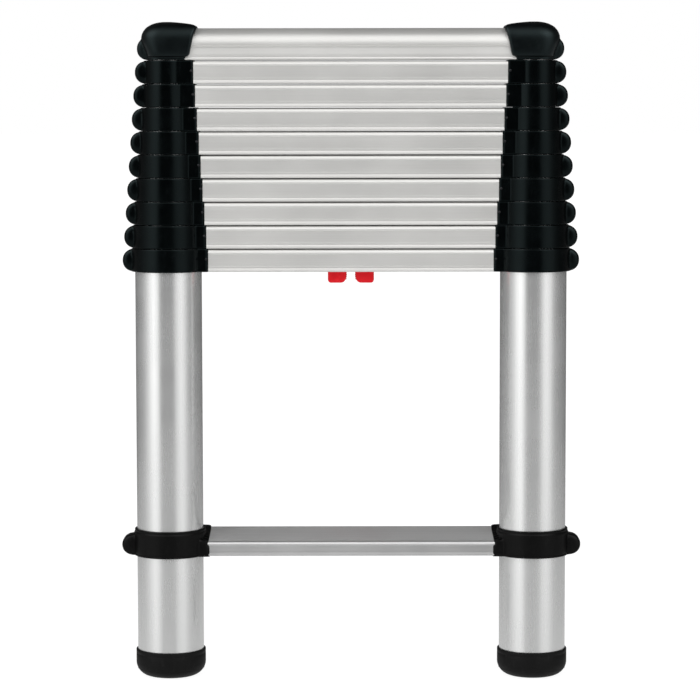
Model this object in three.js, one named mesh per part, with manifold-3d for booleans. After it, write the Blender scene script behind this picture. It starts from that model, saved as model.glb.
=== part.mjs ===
// Telescoping ladder, collapsed. Millimetres, +Z up, X along the rungs, the user stands at -Y.
// The origin is on the floor, midway between the two feet.
// Ten telescoping sections stand inside each other. Each has a left and a right tube, a collar on
// the top end of each tube and one rung between the collars. The base section also carries the feet,
// the bottom rung and the release mechanism; the top section ends in two caps and a domed rung.
import * as THREE from "three";
import { mergeVertices } from "three/addons/utils/BufferGeometryUtils.js";
import Module from "manifold-3d";

const wasm = await Module();
wasm.setup();

// ---- driving dimensions (mm) -------------------------------------------------------------------
const SECTIONS = 10;
const RUNG_PITCH = 300; // rung to rung, extended
const STACK_PITCH = 24.5; // rung to rung, collapsed
const STILE_X = 192; // tube axis from the middle
const BASE_RUNG_Z = 430.3; // underside of the base section's upper rung
const BASE_TUBE_R = 35; // outer radius of the largest tube
const TUBE_STEP = 1.8; // each tube is this much smaller in radius than the one around it
const TUBE_WALL = 1.4;
const INNER_TUBE_LENGTH = 400;
const COLLAR_WALL = 3.9; // collar ring, outside the tube
const COLLAR_HEIGHT = 24.1;
const COLLAR_SOCKET = 3.9; // how far the socket reaches over the rung, past the ring
const COLLAR_LIP = 2.4; // inward lip over the tube's top rim
const LUG_R = 11.7;
const LUG_OUT = 1; // lug centre, outside the tube
const BOTTOM_LUG_R = 11;
const BOTTOM_LUG_OUT = 4.7;
const LUG_DEPTH = 24;
const SPIGOT_LENGTH = 25;
const RUNG_DEPTH = 42;
const RUNG_WALL = 1.8;
const RUNG_FRONT = 22.2; // front face height; the tread rises from here to the back
const RUNG_BACK = 24.1;
const BOTTOM_RUNG_FRONT = 15.2;
const BOTTOM_RUNG_BACK = 25.9;
const BOTTOM_COLLAR_HEIGHT = 28.4;
const BOTTOM_COLLAR_DROP = 0.7; // its lower edge below the rung's underside
const BOTTOM_COLLAR_WALL = 3.2;
const BOTTOM_SOCKET = 4.8; // how far the bottom collar reaches over its rung
const TOP_RUNG_FRONT = 15.2;
const TOP_RUNG_HEIGHT = 33.5;
const CAP_HEIGHT = 40;
const CAP_LUG_OUT = -0.2;
const CAP_DEPTH = 50;
const FOOT_R = 36.9;
const FOOT_HEIGHT = 29.1;
const FOOT_FLOOR = 8; // rubber under the tube
const PIN_R = 4;
const PIN_Z = 10; // latch pin axis above the rung's underside
const RELEASE_TRAVEL = 4;
const FIT = 0.3; // gap between neighbouring pieces
const FACETS = 24;

const TRAVEL = RUNG_PITCH - STACK_PITCH;
const tubeR = (s) => BASE_TUBE_R - TUBE_STEP * (s - 1);
const rungZ = (s) => BASE_RUNG_Z + STACK_PITCH * (s - 1);

// ---- materials ---------------------------------------------------------------------------------
const tubeAlu = new THREE.MeshStandardMaterial({ color: 0xc8c9c8, roughness: 0.32, metalness: 1 });
const rungAlu = new THREE.MeshStandardMaterial({ color: 0xbebeba, roughness: 0.42, metalness: 1 });
const collarBlack = new THREE.MeshStandardMaterial({ color: 0x0e1214, roughness: 0.45, metalness: 0 });
const footBlack = new THREE.MeshStandardMaterial({ color: 0x161616, roughness: 0.7, metalness: 0 });
const buttonRed = new THREE.MeshStandardMaterial({ color: 0xd01c2c, roughness: 0.4, metalness: 0 });
const pinSteel = new THREE.MeshStandardMaterial({ color: 0xb0b2b4, roughness: 0.25, metalness: 1 });

// ---- solids ------------------------------------------------------------------------------------
function solid(geometry) {
  const flat = geometry.index ? geometry.toNonIndexed() : geometry;
  const bare = new THREE.BufferGeometry().setAttribute("position", flat.getAttribute("position"));
  const merged = mergeVertices(bare, 1e-4);
  const tri = new Uint32Array(merged.index.array);
  const make = () =>
    new wasm.Manifold(
      new wasm.Mesh({ numProp: 3, vertProperties: merged.attributes.position.array, triVerts: tri }),
    );
  let m = make();
  if (m.volume() < 0) {
    for (let i = 0; i < tri.length; i += 3) [tri[i + 1], tri[i + 2]] = [tri[i + 2], tri[i + 1]];
    m = make();
  }
  return m;
}

function geometry(manifold) {
  const m = manifold.getMesh();
  const n = m.numProp;
  const v = new Float32Array(m.numVert * 3);
  for (let i = 0; i < m.numVert; i++)
    for (let k = 0; k < 3; k++) v[i * 3 + k] = m.vertProperties[i * n + k];
  const g = new THREE.BufferGeometry();
  g.setAttribute("position", new THREE.BufferAttribute(v, 3));
  g.setIndex(new THREE.BufferAttribute(new Uint32Array(m.triVerts), 1));
  g.computeVertexNormals();
  return g;
}

// The same shape on the other side of the ladder.
function mirrored(g) {
  const m = g.clone().scale(-1, 1, 1);
  const i = m.index.array;
  for (let k = 0; k < i.length; k += 3) [i[k + 1], i[k + 2]] = [i[k + 2], i[k + 1]];
  m.computeVertexNormals();
  return m;
}

const shape = (points) => new THREE.Shape(points.map(([a, b]) => new THREE.Vector2(a, b)));
const along = (x, y, z) =>
  new THREE.Matrix4().makeBasis(new THREE.Vector3(...x), new THREE.Vector3(...y), new THREE.Vector3(...z));

// A (y, z) outline run along X from x0 to x1.
function runX(points, x0, x1) {
  const g = new THREE.ExtrudeGeometry(shape(points), { depth: x1 - x0, bevelEnabled: false });
  return g.applyMatrix4(along([0, 1, 0], [0, 0, 1], [1, 0, 0])).translate(x0, 0, 0);
}

// An (x, z) outline run along Y from y0 to y1.
function runY(points, y0, y1) {
  const g = new THREE.ExtrudeGeometry(shape(points), { depth: y1 - y0, bevelEnabled: false });
  return g.applyMatrix4(along([1, 0, 0], [0, 0, 1], [0, -1, 0])).translate(0, y1, 0);
}

// A (radius, z) profile turned about Z.
function turnZ(profile, facets = FACETS) {
  return new THREE.LatheGeometry(profile.map(([r, z]) => new THREE.Vector2(r, z)), facets).rotateX(Math.PI / 2);
}

// A (radius, x) profile turned about X.
function turnX(profile, facets = 12) {
  return new THREE.LatheGeometry(profile.map(([r, x]) => new THREE.Vector2(r, x)), facets).rotateZ(-Math.PI / 2);
}

function box(x0, x1, y0, y1, z0, z1) {
  return new THREE.BoxGeometry(x1 - x0, y1 - y0, z1 - z0).translate((x0 + x1) / 2, (y0 + y1) / 2, (z0 + z1) / 2);
}

const ring = (r0, r1, z0, z1) => [[r0, z0], [r1, z0], [r1, z1], [r0, z1], [r0, z0]];
const rod = (r, a, b) => [[0, a], [r, a], [r, b], [0, b]];

// ---- rung outlines, (y, z) from the middle of the underside ---------------------------------------
// Flat tread that climbs towards the back, so that it is level when the ladder leans; in is the inset.
function treadOutline(front, back, inset = 0) {
  const h = RUNG_DEPTH / 2;
  const slope = (back - front) / RUNG_DEPTH;
  const lean = Math.hypot(1, slope) * inset;
  const y0 = -h + inset;
  const y1 = h - inset;
  const top = (y) => front + slope * (y + h) - lean;
  const c = inset ? 0.6 : 1.4;
  return [
    [y0 + c * 0.6, inset],
    [y1 - c * 0.6, inset],
    [y1, inset + c * 0.6],
    [y1, top(y1) - c],
    [y1 - c, top(y1 - c)],
    [y0 + c, top(y0 + c)],
    [y0, top(y0) - c],
    [y0, inset + c * 0.6],
  ];
}

// Flat front and a domed top, to hold by hand.
function domeOutline(inset = 0) {
  const h = RUNG_DEPTH / 2 - inset;
  const spring = TOP_RUNG_FRONT;
  const rise = TOP_RUNG_HEIGHT - TOP_RUNG_FRONT - inset;
  const pts = [[-h, inset], [h, inset]];
  for (let i = 0; i <= 10; i++) {
    const a = (Math.PI * i) / 10;
    pts.push([h * Math.cos(a), spring + rise * Math.sin(a)]);
  }
  return pts;
}

function rungSolid(outline, hollow, length) {
  return solid(runX(outline, -length / 2, length / 2)).subtract(
    solid(runX(hollow, -length / 2 - 5, length / 2 + 5)),
  );
}

// ---- collar, in the frame of its tube's axis, rung side at -x --------------------------------------
function collarSolid({ r, wall, height, reach, lugX, lugR, socket, spigot, lipR, pinBore }) {
  const outer = r + wall;
  const face = outer + reach; // where the rung begins
  let body = solid(turnZ(rod(outer, 0, height)));
  const lug = [];
  for (let i = 0; i <= 8; i++) {
    const a = -Math.PI / 2 + (Math.PI * i) / 8;
    lug.push([lugX + lugR * Math.cos(a), lugR + 0.1 + lugR * Math.sin(a)]);
  }
  lug.push([outer - 8, 2 * lugR + 0.1], [outer - 8, 0.1]);
  body = body.add(solid(runY(lug, -LUG_DEPTH / 2, LUG_DEPTH / 2)));
  body = body.add(solid(runX(socket, -face, -4)));
  const bore = lipR
    ? [[0, -1], [r + FIT, -1], [r + FIT, height - COLLAR_LIP], [lipR, height - COLLAR_LIP], [lipR, height + 1], [0, height + 1]]
    : rod(r + FIT, -1, height + 1);
  body = body.subtract(solid(turnZ(bore)));
  body = body.add(solid(runX(spigot, -face - SPIGOT_LENGTH, -face + 0.8)));
  if (pinBore)
    body = body.subtract(solid(turnX(rod(PIN_R + 0.4, -face - SPIGOT_LENGTH - 1, -r + 2), 8).translate(0, 0, PIN_Z)));
  return body;
}

// The collar's socket stands a little proud of the rung at front and back.
const widen = (outline, by) => outline.map(([y, z]) => [y * (1 + by / (RUNG_DEPTH / 2)), z]);

// ---- tubes ------------------------------------------------------------------------------------
// z0 and z1 in the section's frame; holes are on the side that faces the rung.
function tubeSolid(r, z0, z1, holes) {
  let t = solid(turnZ(ring(r - TUBE_WALL, r, z0, z1)));
  for (const z of holes) t = t.subtract(solid(turnX(rod(PIN_R + 0.4, -r - 3, -r + 8), 8).translate(0, 0, z)));
  return t;
}

// ---- assembly ----------------------------------------------------------------------------------
const ladder = new THREE.Group();

function place(parent, name, geom, material, x = 0, y = 0, z = 0) {
  const mesh = new THREE.Mesh(geom, material);
  mesh.name = name;
  mesh.position.set(x, y, z);
  parent.add(mesh);
  return mesh;
}

function placePair(parent, name, geom, material, x, z = 0) {
  place(parent, name + "_right", geom, material, x, 0, z);
  place(parent, name + "_left", mirrored(geom), material, -x, 0, z);
}

const tread = treadOutline(RUNG_FRONT, RUNG_BACK);
const treadHollow = treadOutline(RUNG_FRONT, RUNG_BACK, RUNG_WALL);
const treadSpigot = treadOutline(RUNG_FRONT, RUNG_BACK, RUNG_WALL + FIT);

for (let s = 1; s <= SECTIONS; s++) {
  const section = new THREE.Group();
  section.position.z = rungZ(s);
  ladder.add(section);
  const name = s === 1 ? "base" : s === SECTIONS ? "top" : "section" + s;
  const r = tubeR(s);
  const top = s === SECTIONS ? 24 : COLLAR_HEIGHT - COLLAR_LIP - FIT;
  const bottom = s === 1 ? FOOT_FLOOR + 0.4 - rungZ(1) : top - INNER_TUBE_LENGTH;
  const holes = [];
  if (s < SECTIONS) holes.push(PIN_Z);
  if (s > 1) holes.push(PIN_Z - STACK_PITCH - TRAVEL);
  placePair(section, name + "_tube", geometry(tubeSolid(r, bottom, top, holes)), tubeAlu, STILE_X);

  if (s < SECTIONS) {
    const half = STILE_X - r - COLLAR_WALL - COLLAR_SOCKET;
    placePair(
      section,
      name + "_collar",
      geometry(
        collarSolid({
          r,
          wall: COLLAR_WALL,
          height: COLLAR_HEIGHT,
          reach: COLLAR_SOCKET,
          lugX: r + LUG_OUT,
          lugR: LUG_R,
          socket: widen(tread, 0.7),
          spigot: treadSpigot,
          lipR: r - TUBE_STEP + FIT + 0.05,
          pinBore: s === 1,
        }),
      ),
      collarBlack,
      STILE_X,
    );
    let rung = rungSolid(tread, treadHollow, 2 * (half - FIT));
    // The base section's rung is slotted underneath for the two release buttons.
    if (s === 1) rung = rung.subtract(solid(box(-22.6, 22.6, -5.5, 5.5, -2, RUNG_WALL + 1)));
    place(section, name + "_rung", geometry(rung), rungAlu);
  } else {
    const half = STILE_X - r - 0.7;
    place(section, "top_rung", geometry(rungSolid(domeOutline(), domeOutline(RUNG_WALL), 2 * half)), rungAlu);
    placePair(section, "top_cap", geometry(capSolid(r)), collarBlack, STILE_X);
  }
}

// Cap over the top tube and the end of the top rung, rung side at -x.
function capSolid(r) {
  const front = [
    [-21.3, 0.2], [21, 0.2], [21, 5.6], [22.3, 9.4], [25.2, 16], [26.6, 22.2], [26.3, 25.4], [24.2, 30.5], [20.4, 34.7], [14.2, 38],
    [6, CAP_HEIGHT], [-10, CAP_HEIGHT], [-24.5, 37.8], [-31, 35.4], [-31.4, 33.3], [-29.4, 26.8], [-27, 16.5], [-25.3, 9],
    [-24.6, 5.4], [-21.3, 3.2],
  ];
  const h = CAP_DEPTH / 2;
  const side = [
    [-h + 3, 0.2], [h - 3, 0.2], [h, 4], [h, 26], [h - 2, 31.5], [h - 6.5, 36], [h - 13, 38.6], [h - 18, CAP_HEIGHT],
    [-h + 18, CAP_HEIGHT], [-h + 13, 38.6], [-h + 6.5, 36], [-h + 2, 31.5], [-h, 26], [-h, 4],
  ];
  const plan = [];
  for (let i = 0; i <= 8; i++) {
    const a = -Math.PI / 2 + (Math.PI * i) / 8;
    plan.push([8.6 + 18 * Math.cos(a), (h - 0.05) * Math.sin(a)]);
  }
  plan.push([-34, h - 0.05], [-34, -h + 0.05]);
  let cap = solid(runY(front, -h, h)).intersect(solid(runX(side, -40, 40)));
  const planGeometry = new THREE.ExtrudeGeometry(shape(plan), { depth: 60, bevelEnabled: false }).translate(0, 0, -5);
  cap = cap.intersect(solid(planGeometry));
  const lug = [];
  const x0 = r + CAP_LUG_OUT;
  for (let i = 0; i <= 8; i++) {
    const a = -Math.PI / 2 + (Math.PI * i) / 8;
    lug.push([x0 + LUG_R * Math.cos(a), LUG_R + 0.2 + LUG_R * Math.sin(a)]);
  }
  lug.push([x0 - 3, 2 * LUG_R + 0.2], [x0 - 3, 0.2]);
  cap = cap.add(solid(runY(lug, -LUG_DEPTH / 2, LUG_DEPTH / 2)));
  cap = cap.subtract(solid(turnZ(rod(r + FIT, -1, 24 + FIT))));
  const pocket = domeOutline(0).map(([y, z]) => [y * 1.018, z < 1 ? -2 : z + (z > TOP_RUNG_FRONT + 1 ? 0.4 : 0.1)]);
  return cap.subtract(solid(runX(pocket, -40, -r + 0.6)));
}

// ---- base: feet, bottom rung and its collars -------------------------------------------------------
const base = new THREE.Group();
ladder.add(base);
placePair(
  base,
  "foot",
  geometry(
    solid(
      turnZ([
        [0, 0], [20.5, 0], [26.8, 1.0], [31.8, 3.6], [34.9, 7.4], [36.4, 11.4], [FOOT_R, 15.4], [FOOT_R, FOOT_HEIGHT],
        [BASE_TUBE_R + FIT, FOOT_HEIGHT],
        [BASE_TUBE_R + FIT, FOOT_FLOOR], [0, FOOT_FLOOR],
      ]),
    ),
  ),
  footBlack,
  STILE_X,
);

const bottomRungZ = BASE_RUNG_Z - RUNG_PITCH;
const bottomOutline = treadOutline(BOTTOM_RUNG_FRONT, BOTTOM_RUNG_BACK);
const bottom = new THREE.Group();
bottom.position.z = bottomRungZ;
base.add(bottom);
place(
  bottom,
  "bottom_rung",
  geometry(
    rungSolid(
      bottomOutline,
      treadOutline(BOTTOM_RUNG_FRONT, BOTTOM_RUNG_BACK, RUNG_WALL),
      2 * (STILE_X - BASE_TUBE_R - BOTTOM_COLLAR_WALL - BOTTOM_SOCKET - FIT),
    ),
  ),
  rungAlu,
);
const raise = (outline, by) => outline.map(([y, z]) => [y, z + by]);
placePair(
  bottom,
  "bottom_collar",
  geometry(
    collarSolid({
      r: BASE_TUBE_R,
      wall: BOTTOM_COLLAR_WALL,
      height: BOTTOM_COLLAR_HEIGHT,
      reach: BOTTOM_SOCKET,
      lugX: BASE_TUBE_R + BOTTOM_LUG_OUT,
      lugR: BOTTOM_LUG_R,
      socket: raise(widen(bottomOutline, 0.7), BOTTOM_COLLAR_DROP).map(([y, z]) => [y, z < 5 ? z - 0.6 : z + 0.8]),
      spigot: raise(treadOutline(BOTTOM_RUNG_FRONT, BOTTOM_RUNG_BACK, RUNG_WALL + FIT), BOTTOM_COLLAR_DROP),
      lipR: 0,
      pinBore: false,
    }),
  ),
  collarBlack,
  STILE_X,
  -BOTTOM_COLLAR_DROP,
);

// ---- release mechanism in the base section's rung --------------------------------------------------
const release = new THREE.Group();
release.position.z = BASE_RUNG_Z;
base.add(release);

// Latch pin with its pull rod, from the tube wall to the button's slider.
const tip = STILE_X - (BASE_TUBE_R - TUBE_WALL - 0.05);
placePair(
  release,
  "lock_pin",
  geometry(
    solid(
      turnX([
        [0, 17], [2, 17], [2, 116], [6, 116], [6, 119.6], [PIN_R, 119.6], [PIN_R, tip - 1], [PIN_R - 1, tip], [0, tip],
      ]).translate(0, 0, PIN_Z),
    ),
  ),
  pinSteel,
  0,
);

// Button: finger tab under the rung, stem through the slot, slider inside.
const tab = [
  [4.4, -0.5], [4.4, -7.6], [5.1, -9.8], [6.5, -11.4], [8.7, -12.2], [22.4, -12.2], [23.7, -11.6], [24.2, -10.4], [24.2, -0.5],
];
placePair(
  release,
  "release_button",
  geometry(
    solid(runY(tab, -9, 9))
      .add(solid(box(10, 22, -5, 5, -1, 3)))
      .add(solid(box(4.6, 24, -8, 8, RUNG_WALL + 0.4, 17.4)))
      .subtract(solid(turnX(rod(2.3, 16.6, 30)).translate(0, 0, PIN_Z)))
      .subtract(solid(turnX(rod(5.7, 4, 12.2)).translate(0, 0, PIN_Z))),
  ),
  buttonRed,
  0,
);

// Return spring, its ends in the bores of the two sliders.
class Helix extends THREE.Curve {
  constructor(radius, length, turns) {
    super();
    Object.assign(this, { radius, length, turns });
  }
  getPoint(t, out = new THREE.Vector3()) {
    const a = 2 * Math.PI * this.turns * t;
    return out.set(this.length * (t - 0.5), this.radius * Math.cos(a), this.radius * Math.sin(a));
  }
}
const wire = [];
for (let i = 0; i < 5; i++) wire.push([0.6 * Math.cos((i * Math.PI) / 2.5), 0.6 * Math.sin((i * Math.PI) / 2.5)]);
place(
  release,
  "release_spring",
  geometry(
    solid(
      new THREE.ExtrudeGeometry(shape(wire), {
        steps: 30,
        bevelEnabled: false,
        extrudePath: new Helix(4.4, 14, 4),
      }),
    ),
  ),
  pinSteel,
  0,
  0,
  PIN_Z,
);

export default ladder;
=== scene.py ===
# Telescoping ladder, collapsed. Lengths in the helpers are millimetres; meshes are made in metres.
import math

import bmesh
import bpy
from mathutils import Matrix, Vector
from mathutils.geometry import tessellate_polygon


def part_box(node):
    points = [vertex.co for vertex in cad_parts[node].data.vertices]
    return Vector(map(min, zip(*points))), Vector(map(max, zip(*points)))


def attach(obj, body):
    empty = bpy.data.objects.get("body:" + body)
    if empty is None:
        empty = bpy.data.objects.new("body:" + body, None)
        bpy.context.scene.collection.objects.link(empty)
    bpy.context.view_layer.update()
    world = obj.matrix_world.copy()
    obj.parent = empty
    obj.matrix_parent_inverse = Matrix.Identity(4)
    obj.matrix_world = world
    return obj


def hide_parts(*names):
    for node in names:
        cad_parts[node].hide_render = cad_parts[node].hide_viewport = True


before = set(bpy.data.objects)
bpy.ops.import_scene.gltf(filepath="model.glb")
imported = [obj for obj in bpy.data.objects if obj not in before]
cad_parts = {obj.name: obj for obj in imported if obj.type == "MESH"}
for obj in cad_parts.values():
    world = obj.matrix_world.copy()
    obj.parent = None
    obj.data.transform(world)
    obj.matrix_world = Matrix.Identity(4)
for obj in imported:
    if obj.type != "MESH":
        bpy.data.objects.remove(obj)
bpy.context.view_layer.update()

MM = 0.001
SECTIONS = ["base"] + ["section%d" % k for k in range(2, 10)] + ["top"]
STACK_PITCH = 24.5
STILE_X = 192.0
BASE_RUNG_Z = 430.3
BASE_TUBE_R = 35.0
TUBE_STEP = 1.8
TUBE_WALL = 1.4
COLLAR_WALL = 3.9
COLLAR_H = 24.3
COLLAR_SOCKET = 3.9
BOTTOM_Z = 130.3


def tube_r(s):
    return BASE_TUBE_R - TUBE_STEP * (s - 1)


def rung_z(s):
    return BASE_RUNG_Z + STACK_PITCH * (s - 1)


def node_box(name):
    lo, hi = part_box(name)
    return [v / MM for v in lo], [v / MM for v in hi]


# ---------------------------------------------------------------- mesh helpers
def mesh_object(name, verts, faces, sharp=32.0):
    me = bpy.data.meshes.new(name)
    me.from_pydata([(x * MM, y * MM, z * MM) for x, y, z in verts], [], faces)
    me.update()
    bm = bmesh.new()
    bm.from_mesh(me)
    bmesh.ops.remove_doubles(bm, verts=bm.verts, dist=1e-7)
    bmesh.ops.dissolve_degenerate(bm, dist=1e-7, edges=bm.edges)
    bmesh.ops.recalc_face_normals(bm, faces=bm.faces)
    if bm.calc_volume(signed=True) < 0:
        bmesh.ops.reverse_faces(bm, faces=bm.faces)
    bm.to_mesh(me)
    bm.free()
    me.shade_smooth()
    me.set_sharp_from_angle(angle=math.radians(sharp))
    ob = bpy.data.objects.new(name, me)
    bpy.context.scene.collection.objects.link(ob)
    return ob


def lathe(profile, segs=96, closed=True, centre=(0, 0, 0), axis="z"):
    """Turns a profile of (radius, height) points. closed joins its last point to its first."""
    verts, faces, rings = [], [], []
    for r, h in profile:
        ring = []
        if r < 1e-6:
            verts.append((0, 0, h))
            ring = [len(verts) - 1] * segs
        else:
            for i in range(segs):
                a = 2 * math.pi * i / segs
                verts.append((r * math.cos(a), r * math.sin(a), h))
                ring.append(len(verts) - 1)
        rings.append(ring)
    pairs = list(zip(rings, rings[1:])) + ([(rings[-1], rings[0])] if closed else [])
    for a, b in pairs:
        for i in range(segs):
            j = (i + 1) % segs
            f = []
            for v in (a[i], a[j], b[j], b[i]):
                if v not in f:
                    f.append(v)
            if len(f) > 2:
                faces.append(f)
    turn = {"z": lambda v: v, "x": lambda v: (v[2], v[0], v[1]), "y": lambda v: (v[1], v[2], v[0])}[axis]
    out = []
    for v in verts:
        w = turn(v)
        out.append((w[0] + centre[0], w[1] + centre[1], w[2] + centre[2]))
    return out, faces


def run_x(outer, inner, x0, x1):
    """An outline of (y, z) points, with an optional hole, run along X."""
    verts, faces = [], []
    loops = [outer] + ([inner] if inner else [])
    starts = []
    for loop in loops:
        starts.append(len(verts))
        for x in (x0, x1):
            verts.extend((x, y, z) for y, z in loop)
        n, s = len(loop), starts[-1]
        for i in range(n):
            j = (i + 1) % n
            faces.append([s + i, s + j, s + n + j, s + n + i])
    flat = [[Vector((y, z, 0)) for y, z in loop] for loop in loops]
    index = []
    for k, loop in enumerate(loops):
        index.extend((k, i) for i in range(len(loop)))
    for tri in tessellate_polygon(flat):
        for end in (0, 1):
            faces.append([starts[index[t][0]] + end * len(loops[index[t][0]]) + index[t][1] for t in tri])
    return verts, faces


def merge(parts):
    verts, faces = [], []
    for v, f in parts:
        n = len(verts)
        verts.extend(v)
        faces.extend([[i + n for i in g] for g in f])
    return verts, faces


def mirror(part):
    v, f = part
    return [(-x, y, z) for x, y, z in v], [list(reversed(g)) for g in f]


def shift(part, x=0, y=0, z=0):
    v, f = part
    return [(a + x, b + y, c + z) for a, b, c in v], f


def cut(ob, cutter):
    mod = ob.modifiers.new("cut", "BOOLEAN")
    mod.operation, mod.object, mod.solver = "DIFFERENCE", cutter, "EXACT"
    deps = bpy.context.evaluated_depsgraph_get()
    me = bpy.data.meshes.new_from_object(ob.evaluated_get(deps))
    ob.modifiers.clear()
    ob.data = me
    me.set_sharp_from_angle(angle=math.radians(32))
    bpy.data.objects.remove(cutter)


# ---------------------------------------------------------------- materials
def nodes_of(name):
    m = bpy.data.materials.new(name)
    m.use_nodes = True
    nt = m.node_tree
    nt.nodes.clear()
    out = nt.nodes.new("ShaderNodeOutputMaterial")
    b = nt.nodes.new("ShaderNodeBsdfPrincipled")
    nt.links.new(b.outputs[0], out.inputs[0])
    return m, nt, b


def noise(nt, scale, detail=3.0, rough=0.5, seed=0.0):
    """3-D noise in object space; scale is in cells per metre along each axis."""
    tc = nt.nodes.new("ShaderNodeTexCoord")
    mp = nt.nodes.new("ShaderNodeMapping")
    mp.inputs["Scale"].default_value = scale
    mp.inputs["Location"].default_value = (seed, seed * 1.7, seed * 0.6)
    tx = nt.nodes.new("ShaderNodeTexNoise")
    tx.inputs["Scale"].default_value = 1.0
    tx.inputs["Detail"].default_value = detail
    tx.inputs["Roughness"].default_value = rough
    nt.links.new(tc.outputs["Object"], mp.inputs[0])
    nt.links.new(mp.outputs[0], tx.inputs["Vector"])
    return tx.outputs[0]


def remap(nt, src, a, b, lo=0.3, hi=0.7):
    n = nt.nodes.new("ShaderNodeMapRange")
    n.inputs["From Min"].default_value, n.inputs["From Max"].default_value = lo, hi
    n.inputs["To Min"].default_value, n.inputs["To Max"].default_value = a, b
    nt.links.new(src, n.inputs[0])
    return n.outputs[0]


def math_node(nt, op, a, b):
    n = nt.nodes.new("ShaderNodeMath")
    n.operation = op
    for i, v in enumerate((a, b)):
        if isinstance(v, (int, float)):
            n.inputs[i].default_value = v
        else:
            nt.links.new(v, n.inputs[i])
    return n.outputs[0]


def tint(nt, fac, a, b):
    n = nt.nodes.new("ShaderNodeMix")
    n.data_type = "RGBA"
    nt.links.new(fac, n.inputs[0])
    n.inputs[6].default_value = (*a, 1)
    n.inputs[7].default_value = (*b, 1)
    return n.outputs[2]


def bump(nt, b, height, distance, strength=1.0, under=None):
    n = nt.nodes.new("ShaderNodeBump")
    n.inputs["Strength"].default_value = strength
    n.inputs["Distance"].default_value = distance
    nt.links.new(height, n.inputs["Height"])
    if under:
        nt.links.new(under, n.inputs["Normal"])
    nt.links.new(n.outputs[0], b.inputs["Normal"])
    return n.outputs[0]


def aluminium(name, along, base, dark, rough, spread, streak, seed, metallic=1.0):
    """Drawn aluminium with fine lines along an axis, faint wider streaks and a few dull patches."""
    m, nt, b = nodes_of(name)

    def stretch(across, length):
        return (length, across, across) if along == "x" else (across, across, length)

    fine = noise(nt, stretch(1500, 9), 2.0, 0.6, seed)
    wide = noise(nt, stretch(230, 3), 3.0, 0.55, seed + 3.1)
    patch = noise(nt, (14, 14, 14), 3.0, 0.55, seed + 7.7)
    b.inputs["Metallic"].default_value = metallic
    both = math_node(nt, "ADD", math_node(nt, "MULTIPLY", fine, 0.45), math_node(nt, "MULTIPLY", wide, 0.55))
    nt.links.new(tint(nt, remap(nt, both, 0, 1), dark, base), b.inputs["Base Color"])
    r1 = remap(nt, both, rough + spread, rough - spread)
    r2 = remap(nt, patch, -0.03, 0.045)
    nt.links.new(math_node(nt, "ADD", r1, r2), b.inputs["Roughness"])
    bump(nt, b, both, streak, 0.5)
    return m


def plastic(name, base, light, rough, grain, gloss=0.5, seed=0.0, sheen=(1, 1, 1)):
    """Moulded plastic: fine spark-eroded grain, slow sheen change and rubbed lighter specks."""
    m, nt, b = nodes_of(name)
    g = noise(nt, (1300, 1300, 1300), 2.0, 0.6, seed)
    slow = noise(nt, (55, 55, 55), 3.0, 0.5, seed + 2.3)
    wear = noise(nt, (210, 210, 90), 5.0, 0.65, seed + 5.9)
    worn = remap(nt, wear, 0, 1, 0.56, 0.72)
    nt.links.new(tint(nt, worn, base, light), b.inputs["Base Color"])
    r = math_node(nt, "ADD", remap(nt, slow, rough - 0.05, rough + 0.06), remap(nt, g, -0.03, 0.03))
    nt.links.new(r, b.inputs["Roughness"])
    b.inputs["Specular IOR Level"].default_value = gloss
    b.inputs["Specular Tint"].default_value = (*sheen, 1)
    bump(nt, b, g, grain, 0.5)
    return m


TUBE = aluminium("tube_aluminium", "z", (0.86, 0.865, 0.86), (0.81, 0.815, 0.81), 0.26, 0.025, 0.00002, 0.0, 0.85)
RUNG = aluminium("rung_aluminium", "x", (0.80, 0.795, 0.775), (0.73, 0.725, 0.705), 0.36, 0.05, 0.00005, 11.0, 0.62)
BOTTOM_RUNG = aluminium("bottom_rung_aluminium", "x", (0.80, 0.80, 0.80), (0.72, 0.72, 0.72), 0.34, 0.05, 0.00005, 23.0, 0.84)
BLACK = plastic("black_nylon", (0.0003, 0.0005, 0.0006), (0.0014, 0.0018, 0.0020), 0.22, 0.00004, 0.15, 1.0, (0.72, 0.98, 1.0))
CAPPED = plastic("cap_nylon", (0.0009, 0.0012, 0.0014), (0.0028, 0.0034, 0.0038), 0.34, 0.00005, 0.25, 4.0, (0.72, 0.98, 1.0))
COLLARED = plastic("bottom_collar_nylon", (0.0012, 0.0012, 0.0012), (0.0032, 0.0032, 0.0032), 0.42, 0.00005, 0.13, 6.0)
RUBBER = plastic("black_rubber", (0.0042, 0.0042, 0.0042), (0.0075, 0.0075, 0.0075), 0.52, 0.00008, 0.12, 9.0)
RED = plastic("red_plastic", (0.70, 0.006, 0.013), (0.78, 0.013, 0.020), 0.36, 0.00003, 0.2, 15.0)
STEEL = aluminium("ground_steel", "x", (0.62, 0.62, 0.63), (0.50, 0.50, 0.51), 0.28, 0.05, 0.00003, 31.0)
RIVET = aluminium("dark_rivet", "x", (0.05, 0.05, 0.053), (0.03, 0.03, 0.032), 0.40, 0.05, 0.00003, 37.0)


def piece(name, part, mat, body, slot, *cad, sharp=32.0):
    ob = mesh_object(name, *part, sharp=sharp)
    ob.data.materials.append(mat)
    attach(ob, body)
    if cad:
        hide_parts(*cad)
    return ob


def both_sides(name, part, mat, body, slot, node, sharp=32.0):
    """part is modelled with +x outward, from the tube's axis; node has {} for the side."""
    right = shift(part, x=STILE_X)
    made = []
    for side, p in (("right", right), ("left", mirror(right))):
        cad = (node.format(side),) if node else ()
        made.append(piece(name.format(side), p, mat, body, slot, *cad, sharp=sharp))
    return made


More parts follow.
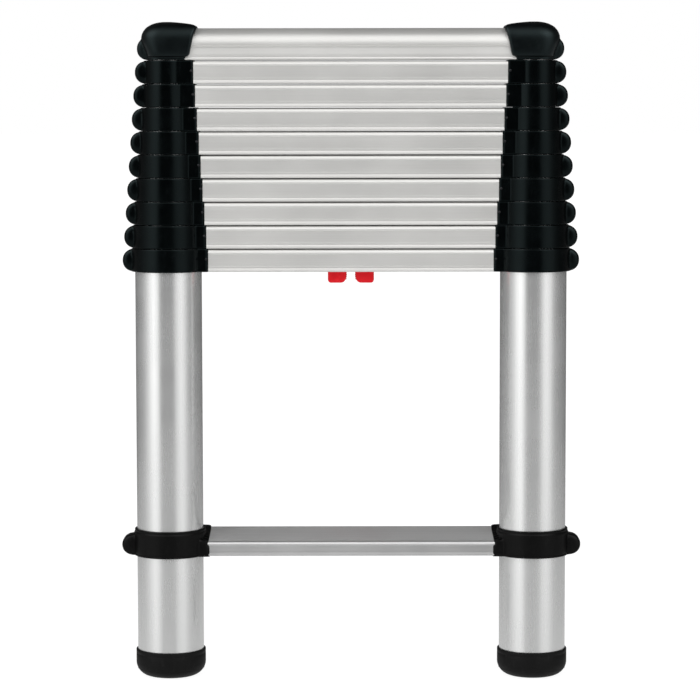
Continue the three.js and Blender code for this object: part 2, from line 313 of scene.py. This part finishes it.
# ---------------------------------------------------------------- tubes
def tube_part(s):
    r = tube_r(s)
    lo, hi = node_box(SECTIONS[s - 1] + "_tube_right")
    a, b, i, c = lo[2], hi[2], r - TUBE_WALL, 0.35
    prof = [(i + c, a), (r - c, a), (r, a + c), (r, b - c), (r - c, b), (i + c, b), (i, b - c), (i, a + c)]
    return lathe(prof, 128 if s == 1 else 96)


for s, name in enumerate(SECTIONS, 1):
    both_sides(name + "_tube_{}_skin", tube_part(s), TUBE, name, "tube", name + "_tube_{}", sharp=25)


# ---------------------------------------------------------------- rungs
def ridged(p0, p1, n, depth, margin):
    """Fine rounded ridges between two (y, z) points, with a plain margin at each end."""
    (y0, z0), (y1, z1) = p0, p1
    ln = math.hypot(y1 - y0, z1 - z0)
    ty, tz = (y1 - y0) / ln, (z1 - z0) / ln
    ny, nz = -tz, ty
    if nz < 0:
        ny, nz = -ny, -nz
    pitch = (ln - 2 * margin) / n
    pts = [(y0, z0)]
    for k in range(n):
        for f, d in ((0.0, 0.0), (0.14, -1.0), (0.36, -1.0), (0.50, 0.0)):
            t = margin + (k + f) * pitch
            pts.append((y0 + ty * t + ny * d * depth, z0 + tz * t + nz * d * depth))
    t = ln - margin
    pts.append((y0 + ty * t, z0 + tz * t))
    pts.append((y1, z1))
    return pts


def arc(cy, cz, r, a0, a1, n):
    return [(cy + r * math.cos(math.radians(a0 + (a1 - a0) * i / n)), cz + r * math.sin(math.radians(a0 + (a1 - a0) * i / n))) for i in range(n + 1)]


def inset_loop(y0, y1, z0, ztop, n=6):
    """Plain hollow inside a rung, from (y0, z0) up to the height ztop(y)."""
    pts = [(y0, z0 + 0.8), (y0 + 0.8, z0), (y1 - 0.8, z0), (y1, z0 + 0.8), (y1, ztop(y1) - 0.8), (y1 - 0.8, ztop(y1 - 0.8))]
    for i in range(1, n):
        y = y1 - (y1 - y0) * i / n
        pts.append((y, ztop(y)))
    pts += [(y0 + 0.8, ztop(y0 + 0.8)), (y0, ztop(y0) - 0.8)]
    return pts


def stacked_outline():
    """Front face with a lip below and a round nose above, then the ridged tread up to the back."""
    pts = [(-19.9, 0.0), (-20.7, 0.12), (-21.0, 0.45), (-21.05, 0.9), (-20.95, 1.4), (-20.55, 3.1), (-20.4, 3.5), (-20.25, 3.7), (-20.25, 4.0), (-20.4, 4.2)]
    pts += [(-20.4, 5.9), (-20.25, 6.1), (-20.25, 6.4), (-20.4, 6.6), (-20.4, 17.2), (-20.3, 17.9), (-20.35, 18.5), (-20.75, 18.9), (-21.0, 19.3), (-21.05, 19.6)]
    pts += [(-20.95, 20.1), (-20.75, 20.7), (-20.45, 21.4), (-20.05, 22.1), (-19.6, 22.7), (-19.1, 23.1), (-18.5, 23.3)]
    pts += ridged((-18.0, 23.3), (19.8, 23.95), 15, 0.45, 1.2)
    pts += arc(19.9, 22.98, 1.0, 85, 0, 4)
    pts += [(20.9, 1.2), (20.6, 0.4), (19.8, 0.0)]
    return pts


def bottom_outline():
    pts = [(-19.9, 0.0), (-20.7, 0.12), (-21.0, 0.45), (-21.05, 1.0), (-20.95, 1.5), (-20.5, 3.3), (-20.4, 3.8), (-20.4, 10.6), (-20.3, 11.1), (-20.35, 11.6), (-20.75, 12.0), (-21.0, 12.4), (-21.05, 12.7)]
    pts += [(-20.95, 13.1), (-20.7, 13.6), (-20.35, 14.1), (-19.9, 14.6), (-19.3, 15.0), (-18.7, 15.25)]
    pts += ridged((-18.2, 15.45), (19.6, 25.4), 15, 0.19, 1.2)
    pts += arc(19.8, 24.45, 1.0, 76, 0, 4)
    pts += [(20.9, 1.2), (20.6, 0.4), (19.8, 0.0)]
    return pts


def top_outline():
    """Lip, front face leaning back a little, a groove and the domed grip."""
    front = [(-19.8, 0.0), (-20.7, 0.15), (-21.1, 0.6), (-21.1, 1.6), (-20.9, 2.2), (-20.5, 2.8), (-20.45, 3.2), (-20.45, 5.4), (-20.2, 6.8), (-19.3, 12.4), (-19.15, 13.4), (-19.3, 14.1), (-19.9, 14.6)]
    dome = []
    for i in range(49):
        a = math.radians(180 - 180 * i / 48)
        dome.append((20.9 * math.cos(a), 15.2 + 18.2 * math.sin(a)))
    back = [(-y, z) for y, z in reversed(front)]
    return front + dome + back


STACKED, BOTTOM, TOP = stacked_outline(), bottom_outline(), top_outline()
STACKED_IN = inset_loop(-18.3, 19.1, 1.8, lambda y: 21.3 + (y + 19) * 0.023)
BOTTOM_IN = inset_loop(-18.3, 19.1, 1.8, lambda y: 13.2 + (y + 19) * 0.262)
TOP_IN = [(-18.6, 2.0), (18.6, 2.0)] + [(18.9 * math.cos(math.radians(180 * i / 24)), 15.2 + 16.3 * math.sin(math.radians(180 * i / 24))) for i in range(25)]


def rung_piece(name, outer, inner, half, z, mat, body, node):
    part = shift(run_x(outer, inner, -half, half), z=z)
    return piece(name, part, mat, body, "rung", node, sharp=24)


for s, name in enumerate(SECTIONS, 1):
    if name == "top":
        rung_piece("top_rung_skin", TOP, TOP_IN, STILE_X - 18.6, rung_z(10), RUNG, name, "top_rung")
        continue
    half = STILE_X - tube_r(s) - COLLAR_WALL - COLLAR_SOCKET - 0.1
    ob = rung_piece(name + "_rung_skin", STACKED, STACKED_IN, half, rung_z(s), RUNG, name, name + "_rung")
    if s == 1:
        box = run_x([(-5.4, -2), (5.4, -2), (5.4, 3.5), (-5.4, 3.5)], None, -22.6, 22.6)
        cut(ob, mesh_object("slot_cutter", *shift(box, z=BASE_RUNG_Z)))
rung_piece("bottom_rung_skin", BOTTOM, BOTTOM_IN, 151.4, BOTTOM_Z, BOTTOM_RUNG, "base", "bottom_rung")


# ---------------------------------------------------------------- collars
def smax(a, b, k):
    h = max(k - abs(a - b), 0.0) / k
    return max(a, b) + h * h * k * 0.25


def smooth(a, b, x):
    t = min(max((x - a) / (b - a), 0.0), 1.0)
    return t * t * (3 - 2 * t)


def edge_round(z, h, top, bottom):
    """How far an edge of rounded section stands back at height z."""
    d = 0.0
    if z > h - top:
        d = top - math.sqrt(max(top * top - (z - h + top) ** 2, 0.0))
    if z < bottom:
        d = max(d, bottom - math.sqrt(max(bottom * bottom - (bottom - z) ** 2, 0.0)))
    return d


def pbox(c, s, ex, ey, p):
    return (abs(c / ex) ** p + abs(s / ey) ** p) ** (-1.0 / p)


def thetas(socket_from, socket_to):
    """Angles round the tube, closer together over the lug and the socket's corners."""
    out, a = [], 0.0
    while a < 180.0 - 1e-6:
        out.append(a)
        if a < 24:
            a += 1.0
        elif socket_from <= a <= socket_to:
            a += 1.6
        else:
            a += 3.0
    full = out + [180.0] + [360.0 - v for v in reversed(out) if v > 0]
    return [math.radians(v) for v in full]


def polar_ring(th, outer, levels, inner):
    """A ring-shaped solid: outer(c, s, z) at each level, and an inner (radius, z) profile from the top down."""
    verts, faces = [], []
    n = len(levels) + len(inner)
    for t in th:
        c, s = math.cos(t), math.sin(t)
        for z in levels:
            r = outer(c, s, z)
            verts.append((r * c, r * s, z))
        for r, z in inner:
            verts.append((r * c, r * s, z))
    m = len(th)
    for i in range(m):
        j = (i + 1) % m
        for k in range(n):
            q = (k + 1) % n
            faces.append([i * n + k, j * n + k, j * n + q, i * n + q])
    return verts, faces


def cosine_levels(h, n):
    return [h * (0.5 - 0.5 * math.cos(math.pi * j / n)) for j in range(n + 1)]


def lug_reach(z, x0, zc, a, b, p=2.15):
    u = abs((z - zc) / b)
    return x0 + a * (1 - u**p) ** (1 / p) if u < 1 else 0.0


def collar_part(s):
    r = tube_r(s)
    ro = r + COLLAR_WALL

    def outer(c, sn, z):
        e = edge_round(z, COLLAR_H, 1.2, 0.7)
        rad = ro - e
        if c < 0:
            rad = smax(rad, pbox(c, sn, ro + COLLAR_SOCKET - 0.35 * e, 21.9 - e, 26), 0.8)
        xl = lug_reach(z, r + 1.0, 11.9, 11.7, 11.7)
        if c > 0 and xl > ro - 3:
            u = abs((z - 11.9) / 11.7)
            rad = smax(rad, pbox(c, sn, xl, 12.0 - 1.2 * u**3, 8), 0.6)
        return rad

    inner = [(r + 0.6, COLLAR_H), (r - TUBE_STEP + 0.75, COLLAR_H), (r - TUBE_STEP + 0.35, COLLAR_H - 0.4), (r - TUBE_STEP + 0.35, COLLAR_H - 2.3), (r + 0.3, COLLAR_H - 2.4), (r + 0.3, 0.5), (r + 0.7, 0.0)]
    corner = math.degrees(math.atan2(21.9, ro + COLLAR_SOCKET))
    end = math.degrees(math.asin(min(21.9 / ro, 1.0)))
    return polar_ring(thetas(180 - end - 6, 180 - corner + 8), outer, cosine_levels(COLLAR_H, 26), inner)


def rivets_part(ro, z, x_in, y):
    dome = [(0.0, 0.7), (0.7, 0.62), (1.15, 0.4), (1.4, 0.0), (1.4, -0.9), (0.0, -0.9)]
    parts = []
    for side in (-1, 1):
        p = lathe([(r, side * (h + y)) for r, h in dome], 20, closed=False, axis="y")
        parts.append(shift(p, x=-(ro - x_in), z=z))
    return merge(parts)


for s, name in enumerate(SECTIONS[:-1], 1):
    z = rung_z(s)
    both_sides(name + "_collar_{}_skin", shift(collar_part(s), z=z), BLACK, name, "collar", name + "_collar_{}", sharp=38)
    ro = tube_r(s) + COLLAR_WALL
    both_sides(name + "_rivets_{}", rivets_part(ro + COLLAR_SOCKET, z + 13.4, 2.2, 21.9), RIVET, name, "steel", None)


def bottom_collar_part():
    h, ro = 28.4, BASE_TUBE_R + 3.2

    def outer(c, sn, z):
        e = edge_round(z, h, 0.9, 0.8)
        e += 0.75 * smooth(h - 4.2, h - 2.6, z)
        e += 0.35 * (smooth(1.6, 2.0, z) - smooth(2.4, 2.8, z))
        rad = ro - e
        zr = z - 0.7
        if c < 0:
            slant = 42.1 / (abs(c) - 0.04 * sn) if abs(c) > 0.2 else 400
            face = slant + (43.0 / abs(c) - slant) * (1 - smooth(10.4, 11.6, zr)) if abs(c) > 0.2 else 400
            side = (21.9 - 0.6 * e) / max(abs(sn), 1e-6)
            p = 22
            sock = (face ** -p + side ** -p) ** (-1 / p)
            y = sock * sn
            top = 16.7 + (y + 21) * 0.2571
            on = 1 - smooth(top - 0.3, top + 0.7, zr)
            rad = smax(rad, rad + (sock - 0.4 * e - rad) * on, 0.6) if sock > rad else rad
        xl = lug_reach(z, BASE_TUBE_R + 3.6, 11.2, 12.1, 11.0)
        if c > 0 and xl > ro - 3:
            u = abs((z - 11.2) / 11.0)
            rad = smax(rad, pbox(c, sn, xl, 12.0 - 1.2 * u**3, 8), 0.6)
        return rad

    r = BASE_TUBE_R
    inner = [(r + 0.8, h), (r + 0.3, h - 0.5), (r + 0.3, 0.5), (r + 0.8, 0.0)]
    levels = sorted(set(cosine_levels(h, 30) + [1.6, 1.8, 2.0, 2.4, 2.6, 2.8, 24.4, 25.2, 26.0]))
    return polar_ring(thetas(140, 166), outer, levels, inner)


both_sides("bottom_collar_{}_skin", shift(bottom_collar_part(), z=BOTTOM_Z - 0.7), COLLARED, "base", "collar", "bottom_collar_{}", sharp=38)


# ---------------------------------------------------------------- top caps
def curve_at(points, z):
    for (z0, v0), (z1, v1) in zip(points, points[1:]):
        if z <= z1:
            t = (z - z0) / (z1 - z0) if z1 > z0 else 0
            return v0 + (v1 - v0) * t
    return points[-1][1]


def spline(points, n=12):
    """Denser points on a smooth curve through (z, value) points that rise in z."""
    out = []
    for i in range(len(points) - 1):
        p0 = points[max(i - 1, 0)]
        p1, p2 = points[i], points[i + 1]
        p3 = points[min(i + 2, len(points) - 1)]
        for k in range(n):
            t = k / n
            q = []
            for a in (0, 1):
                q.append(0.5 * (2 * p1[a] + (p2[a] - p0[a]) * t + (2 * p0[a] - 5 * p1[a] + 4 * p2[a] - p3[a]) * t * t + (3 * p1[a] - p0[a] - 3 * p2[a] + p3[a]) * t**3))
            out.append(tuple(q))
    return out + [points[-1]]


CAP_OUT = spline([(0.2, 20.9), (3.2, 20.9), (4.4, 21.3), (6.0, 21.8), (9.4, 23.0), (13, 24.4), (16, 25.5), (19, 26.3), (22.2, 26.7), (25.4, 26.4), (28.4, 25.4), (30.5, 24.2), (32.6, 22.6), (34.7, 20.4), (36.7, 17.0), (38.0, 14.0), (39.2, 9.5), (39.85, 5.0)])
CAP_IN = spline([(0.2, 21.25), (3.0, 21.3), (4.0, 23.2), (5.2, 24.4), (8.3, 25.1), (12.4, 25.9), (16.5, 26.9), (20.6, 27.7), (25.8, 29.1), (29.9, 30.5), (32.6, 31.3), (34.2, 31.4), (35.4, 30.9), (36.6, 28.9), (37.6, 25.0), (38.6, 18.0), (39.4, 10.5), (39.85, 5.0)])
CAP_Y = spline([(0.2, 21.9), (3.0, 22.0), (4.2, 24.2), (8, 25.0), (14, 25.2), (20, 25.0), (25, 24.4), (29, 23.0), (33, 20.2), (36, 16.6), (38.2, 12.0), (39.3, 8.0), (39.85, 4.5)])


def cap_part():
    top = 40.0
    levels = [0.2, 0.35, 0.9, 2.0, 2.7, 3.0, 3.3, 3.6, 4.0, 4.5, 5.2, 6.0] + [7 + i * 1.9 for i in range(12)] + [29.4, 30.8, 32.2, 33.4, 34.6, 35.4, 36.0, 36.6, 37.2, 37.7, 38.2, 38.6, 39.0, 39.4, 39.7, 39.85]
    out, a = [], 0.0
    while a < 180.0 - 1e-6:
        out.append(a)
        a += 1.2 if 112 <= a <= 150 or a < 24 else 2.5
    th = [math.radians(v) for v in out + [180.0] + [360.0 - v for v in reversed(out) if v > 0]]

    def outer(c, s, z):
        ey = curve_at(CAP_Y, z)
        if c >= 0:
            rad = pbox(c, s, curve_at(CAP_OUT, z), ey, 2.7)
        else:
            rad = pbox(c, s, curve_at(CAP_IN, z), ey, 14)
        if c < 0 and z > 5 and z < 38:
            x = rad * abs(c)
            lip = smooth(curve_at(CAP_IN, z) - 4.0, curve_at(CAP_IN, z) - 3.4, x)
            rad += 0.55 * lip * smooth(5, 7, z) * (1 - smooth(35.5, 37.5, z)) * abs(s)
        e = edge_round(z, 60, 0.1, 0.6)
        rad -= e
        xl = lug_reach(z, 19.0, 11.9, 12.0, 11.7)
        if c > 0 and xl > 18:
            u = abs((z - 11.9) / 11.7)
            rad = smax(rad, pbox(c, s, xl, 12.0 - 1.2 * u**3, 8), 0.7)
        return rad

    verts, faces = [], []
    r = 18.8 + 0.3
    inner = [(0.0, 24.4), (r, 24.4), (r, 0.6), (r + 0.5, 0.2)]
    n = len(inner) + len(levels) + 1
    for t in th:
        c, s = math.cos(t), math.sin(t)
        for q, z in inner:
            verts.append((q * c * (0.955 if c < 0 else 1), q * s, z))
        for z in levels:
            rad = outer(c, s, z)
            verts.append((rad * c, rad * s, z))
        verts.append((0, 0, top))
    m = len(th)
    for i in range(m):
        j = (i + 1) % m
        for k in range(n - 1):
            f = [i * n + k, j * n + k, j * n + k + 1, i * n + k + 1]
            faces.append(f)
    return verts, faces


both_sides("top_cap_{}_skin", shift(cap_part(), z=rung_z(10)), CAPPED, "top", "collar", "top_cap_{}", sharp=40)


# ---------------------------------------------------------------- feet
def foot_part():
    r, t = 36.9, BASE_TUBE_R + 0.3
    prof = [(0, 1.2), (5.0, 1.2), (5.4, 0.2), (5.8, 0.0)]
    for a in (7.4, 10.6, 13.8):
        prof += [(a - 0.3, 0.0), (a, 0.3), (a + 0.2, 1.5), (a + 1.2, 1.5), (a + 1.4, 0.3), (a + 1.7, 0.0)]
    for i in range(25):
        a = math.radians(-90 + 90 * i / 24)
        prof.append((20.5 + (r - 20.5) * math.cos(a) ** 0.94, 15.4 + 15.4 * math.sin(a)))
    prof += [(r, 19.0), (r, 24.1), (r - 0.12, 24.4), (r - 0.12, 24.8), (r, 25.1), (r, 28.2), (r - 0.25, 28.8), (r - 0.8, 29.1)]
    prof += [(t + 0.35, 29.1), (t, 28.7), (t, 8.0), (0, 8.0)]
    return lathe(prof, 128, closed=False)


both_sides("foot_{}_skin", foot_part(), RUBBER, "base", "foot", "foot_{}", sharp=30)


# ---------------------------------------------------------------- release buttons, pins and spring
def rounded_tab():
    """Finger tab: outer side upright, inner side rolled over, hollowed a little for the finger."""
    out = [(4.4, -0.5), (4.5, -3.0), (4.9, -6.6), (5.7, -9.0), (7.0, -10.8), (8.6, -11.8), (10.4, -12.15), (20.8, -12.2), (22.1, -12.0), (23.2, -11.3), (23.9, -10.2), (24.2, -8.6), (24.2, -0.5)]
    steps = [(-9.0, 1.5), (-8.7, 0.7), (-8.0, 0.2), (-7.0, 0.0), (7.0, 0.0), (8.0, 0.2), (8.7, 0.7), (9.0, 1.5)]
    cx = 14.3
    verts, faces = [], []
    n = len(out)
    for y, inset in steps:
        for x, z in out:
            sx = cx + (x - cx) * (1 - inset / 10)
            sz = z if z > -1 else z + inset * (abs(z) / 12.2)
            verts.append((sx, y, sz))
    for k in range(len(steps) - 1):
        for i in range(n):
            j = (i + 1) % n
            faces.append([k * n + i, k * n + j, (k + 1) * n + j, (k + 1) * n + i])
    faces.append(list(range(n)))
    faces.append([(len(steps) - 1) * n + i for i in reversed(range(n))])
    return verts, faces


def block(x0, x1, y0, y1, z0, z1, c=0.6):
    """A box with chamfered long edges."""
    loop = [(y0 + c, z0), (y1 - c, z0), (y1, z0 + c), (y1, z1 - c), (y1 - c, z1), (y0 + c, z1), (y0, z1 - c), (y0, z0 + c)]
    return run_x(loop, None, x0, x1)


def grips():
    """Three low bars across the inner face of the tab."""
    parts = []
    for k in range(3):
        z = -4.2 - 2.1 * k
        x = 4.3 + 0.06 * k * k + 0.12 * k
        parts.append(lathe([(0.0, -6.2), (0.35, -6.1), (0.5, -5.8), (0.5, 5.8), (0.35, 6.1), (0.0, 6.2)], 12, closed=False, axis="y", centre=(x + 0.35, 0, z)))
    return merge(parts)


for side, m in (("right", 1), ("left", -1)):
    body = "release_" + side
    tab = merge([rounded_tab(), grips(), block(10, 22, -5, 5, -1, 3), block(12.4, 24, -8, 8, 2.2, 17.4), block(4.6, 12.4, -8, -5.9, 2.2, 17.4, 0.3), block(4.6, 12.4, 5.9, 8, 2.2, 17.4, 0.3)])
    pin = lathe([(0, 17), (1.7, 17), (2, 17.3), (2, 116), (5.6, 116), (6, 116.4), (6, 119.2), (5.6, 119.6), (4, 119.6), (4, 157.4), (3, 158.4), (0, 158.45)], 40, closed=False, axis="x", centre=(0, 0, 10))
    if m < 0:
        tab, pin = mirror(tab), mirror(pin)
    piece("release_button_%s_skin" % side, shift(tab, z=BASE_RUNG_Z), RED, body, "button", "release_button_" + side, sharp=35)
    piece("lock_pin_%s_skin" % side, shift(pin, z=BASE_RUNG_Z), STEEL, body, "steel", "lock_pin_" + side)


def spring_part():
    """Coil spring lying along X, with closed ends."""
    turns, rad, half, wire, steps, k = 5, 4.4, 7.0, 0.6, 200, 10
    verts, faces = [], []
    for i in range(steps + 1):
        t = i / steps
        a = 2 * math.pi * turns * t
        c = Vector((-half + 2 * half * t, rad * math.cos(a), rad * math.sin(a)))
        tan = Vector((2 * half / (2 * math.pi * turns), -rad * math.sin(a), rad * math.cos(a))).normalized()
        out = Vector((0, math.cos(a), math.sin(a)))
        side = tan.cross(out).normalized()
        for j in range(k):
            b = 2 * math.pi * j / k
            v = c + out * (wire * math.cos(b)) + side * (wire * math.sin(b))
            verts.append((v.x, v.y, v.z))
    for i in range(steps):
        for j in range(k):
            n = (j + 1) % k
            faces.append([i * k + j, i * k + n, (i + 1) * k + n, (i + 1) * k + j])
    faces.append(list(range(k)))
    faces.append([steps * k + j for j in reversed(range(k))])
    return verts, faces


piece("release_spring_skin", shift(spring_part(), z=BASE_RUNG_Z + 10), STEEL, "base", "steel", "release_spring")


# ---------------------------------------------------------------- studio
floor = mesh_object("floor", [(-60000, -60000, -0.2), (60000, -60000, -0.2), (60000, 60000, -0.2), (-60000, 60000, -0.2)], [[0, 1, 2, 3]])
fm, fnt, fb = nodes_of("floor_paper")
fb.inputs["Base Color"].default_value = (0.20, 0.20, 0.20, 1)
fb.inputs["Roughness"].default_value = 1.0
fb.inputs["Specular IOR Level"].default_value = 0.0
fb.inputs["Emission Color"].default_value = (1, 1, 1, 1)
fb.inputs["Emission Strength"].default_value = 0.93
floor.data.materials.append(fm)
floor.visible_glossy = False


def ramp(nt, src, stops):
    n = nt.nodes.new("ShaderNodeValToRGB")
    n.color_ramp.interpolation = "LINEAR"
    e = n.color_ramp.elements
    while len(e) > 1:
        e.remove(e[-1])
    for i, (p, v) in enumerate(stops):
        q = e[0] if i == 0 else e.new(p)
        q.position = p
        q.color = (v, v, v, 1)
    nt.links.new(src, n.inputs[0])
    return n.outputs[0]


def studio():
    """White to the eye; in reflections, two upright softboxes with brighter tops, a panel overhead in front and a dim room."""
    w = bpy.data.worlds.new("studio")
    bpy.context.scene.world = w
    w.use_nodes = True
    nt = w.node_tree
    nt.nodes.clear()
    out = nt.nodes.new("ShaderNodeOutputWorld")
    tc = nt.nodes.new("ShaderNodeTexCoord")
    xyz = nt.nodes.new("ShaderNodeSeparateXYZ")
    nt.links.new(tc.outputs["Generated"], xyz.inputs[0])
    x, y, z = xyz.outputs
    front = math_node(nt, "MULTIPLY", y, -1.0)
    az = math_node(nt, "ARCTAN2", x, front)
    az = remap(nt, az, 0, 1, -math.pi, math.pi)
    a = lambda deg: (deg + 180) / 360
    e = lambda deg: (deg + 90) / 180
    el = remap(nt, math_node(nt, "ARCSINE", z, 0.0), 0, 1, -math.pi / 2, math.pi / 2)
    level = ramp(nt, az, [(a(v), l) for v, l in LEVEL])
    upper = ramp(nt, az, [(a(v), l) for v, l in UPPER])
    window = ramp(nt, el, [(e(v), l) for v, l in WINDOW])
    room = ramp(nt, el, [(e(v), l) for v, l in ROOM])
    top_az = ramp(nt, az, [(a(v), l) for v, l in TOP_AZ])
    top_el = ramp(nt, el, [(e(v), l) for v, l in TOP_EL])
    low = ramp(nt, el, [(e(v), l) for v, l in LOW])
    # brightness = mix(level * room, low tone) + upper boxes + top box
    side = math_node(nt, "MULTIPLY", level, room)
    tone = math_node(nt, "ADD", math_node(nt, "MULTIPLY", side, math_node(nt, "SUBTRACT", 1.0, low)), math_node(nt, "MULTIPLY", low, LOW_TONE))
    boxes = math_node(nt, "MULTIPLY", math_node(nt, "MULTIPLY", upper, window), BOX_GAIN)
    over = math_node(nt, "MULTIPLY", math_node(nt, "MULTIPLY", top_az, top_el), TOP_GAIN)
    total = math_node(nt, "ADD", math_node(nt, "ADD", tone, boxes), over)
    bg = nt.nodes.new("ShaderNodeBackground")
    bg.inputs[0].default_value = (1, 1, 1, 1)
    nt.links.new(total, bg.inputs[1])
    seen = nt.nodes.new("ShaderNodeBackground")
    seen.inputs[0].default_value = (1, 1, 1, 1)
    seen.inputs[1].default_value = 1.0
    lp = nt.nodes.new("ShaderNodeLightPath")
    mix = nt.nodes.new("ShaderNodeMixShader")
    nt.links.new(lp.outputs["Is Camera Ray"], mix.inputs[0])
    nt.links.new(bg.outputs[0], mix.inputs[1])
    nt.links.new(seen.outputs[0], mix.inputs[2])
    nt.links.new(mix.outputs[0], out.inputs[0])


# azimuth from straight in front of the ladder, + to its right, and brightness
LEVEL = ((-180, 0.12), (-150, 0.10), (-125, 0.11), (-104, 0.16), (-90, 0.30), (-74, 0.68), (-60, 1.20), (-50, 1.42), (-40, 1.36), (-34, 0.95), (-27, 0.18), (-20, 0.05), (16, 0.05), (22, 0.26), (30, 0.82), (40, 1.02), (52, 1.06), (60, 0.80), (70, 0.36), (84, 0.14), (105, 0.08), (150, 0.08), (180, 0.12))
UPPER = ((-180, 0.0), (-120, 0.02), (-95, 0.20), (-82, 0.80), (-72, 1.0), (-46, 1.0), (-34, 0.30), (-24, 0.0), (10, 0.0), (18, 0.35), (26, 0.95), (52, 0.95), (64, 0.50), (80, 0.10), (120, 0.0), (180, 0.0))
WINDOW = ((-90, 0.0), (10, 0.0), (22, 0.6), (32, 1.0), (50, 1.0), (62, 0.35), (74, 0.05), (90, 0.02))
TOP_AZ = ((-180, 0.0), (-75, 0.0), (-50, 0.6), (-30, 1.0), (30, 1.0), (50, 0.6), (75, 0.0), (180, 0.0))
TOP_EL = ((-90, 0.0), (10, 0.0), (24, 0.45), (36, 1.0), (66, 1.0), (80, 0.15), (90, 0.0))
ROOM = ((-90, 0.8), (-20, 0.95), (0, 1.0), (14, 1.0), (40, 0.40), (70, 0.25), (90, 0.15))
LOW = ((-90, 1.0), (-9.8, 1.0), (-7.6, 0.0), (90, 0.0))
LOW_TONE = 0.60
BOX_GAIN = 2.1
TOP_GAIN = 0.95

studio()

cam = bpy.data.cameras.new("camera")
cam.sensor_width = 36.0
cam.lens = 141.85
cam.clip_start, cam.clip_end = 0.1, 200.0
cam_ob = bpy.data.objects.new("camera", cam)
cam_ob.location = (-0.0007, -2.9, 0.601)
cam_ob.rotation_euler = (math.radians(90 - 5.014), math.radians(0.08), 0)
bpy.context.scene.collection.objects.link(cam_ob)
bpy.context.scene.camera = cam_ob
bpy.context.scene.view_settings.view_transform = "Standard"
bpy.context.scene.view_settings.look = "None"
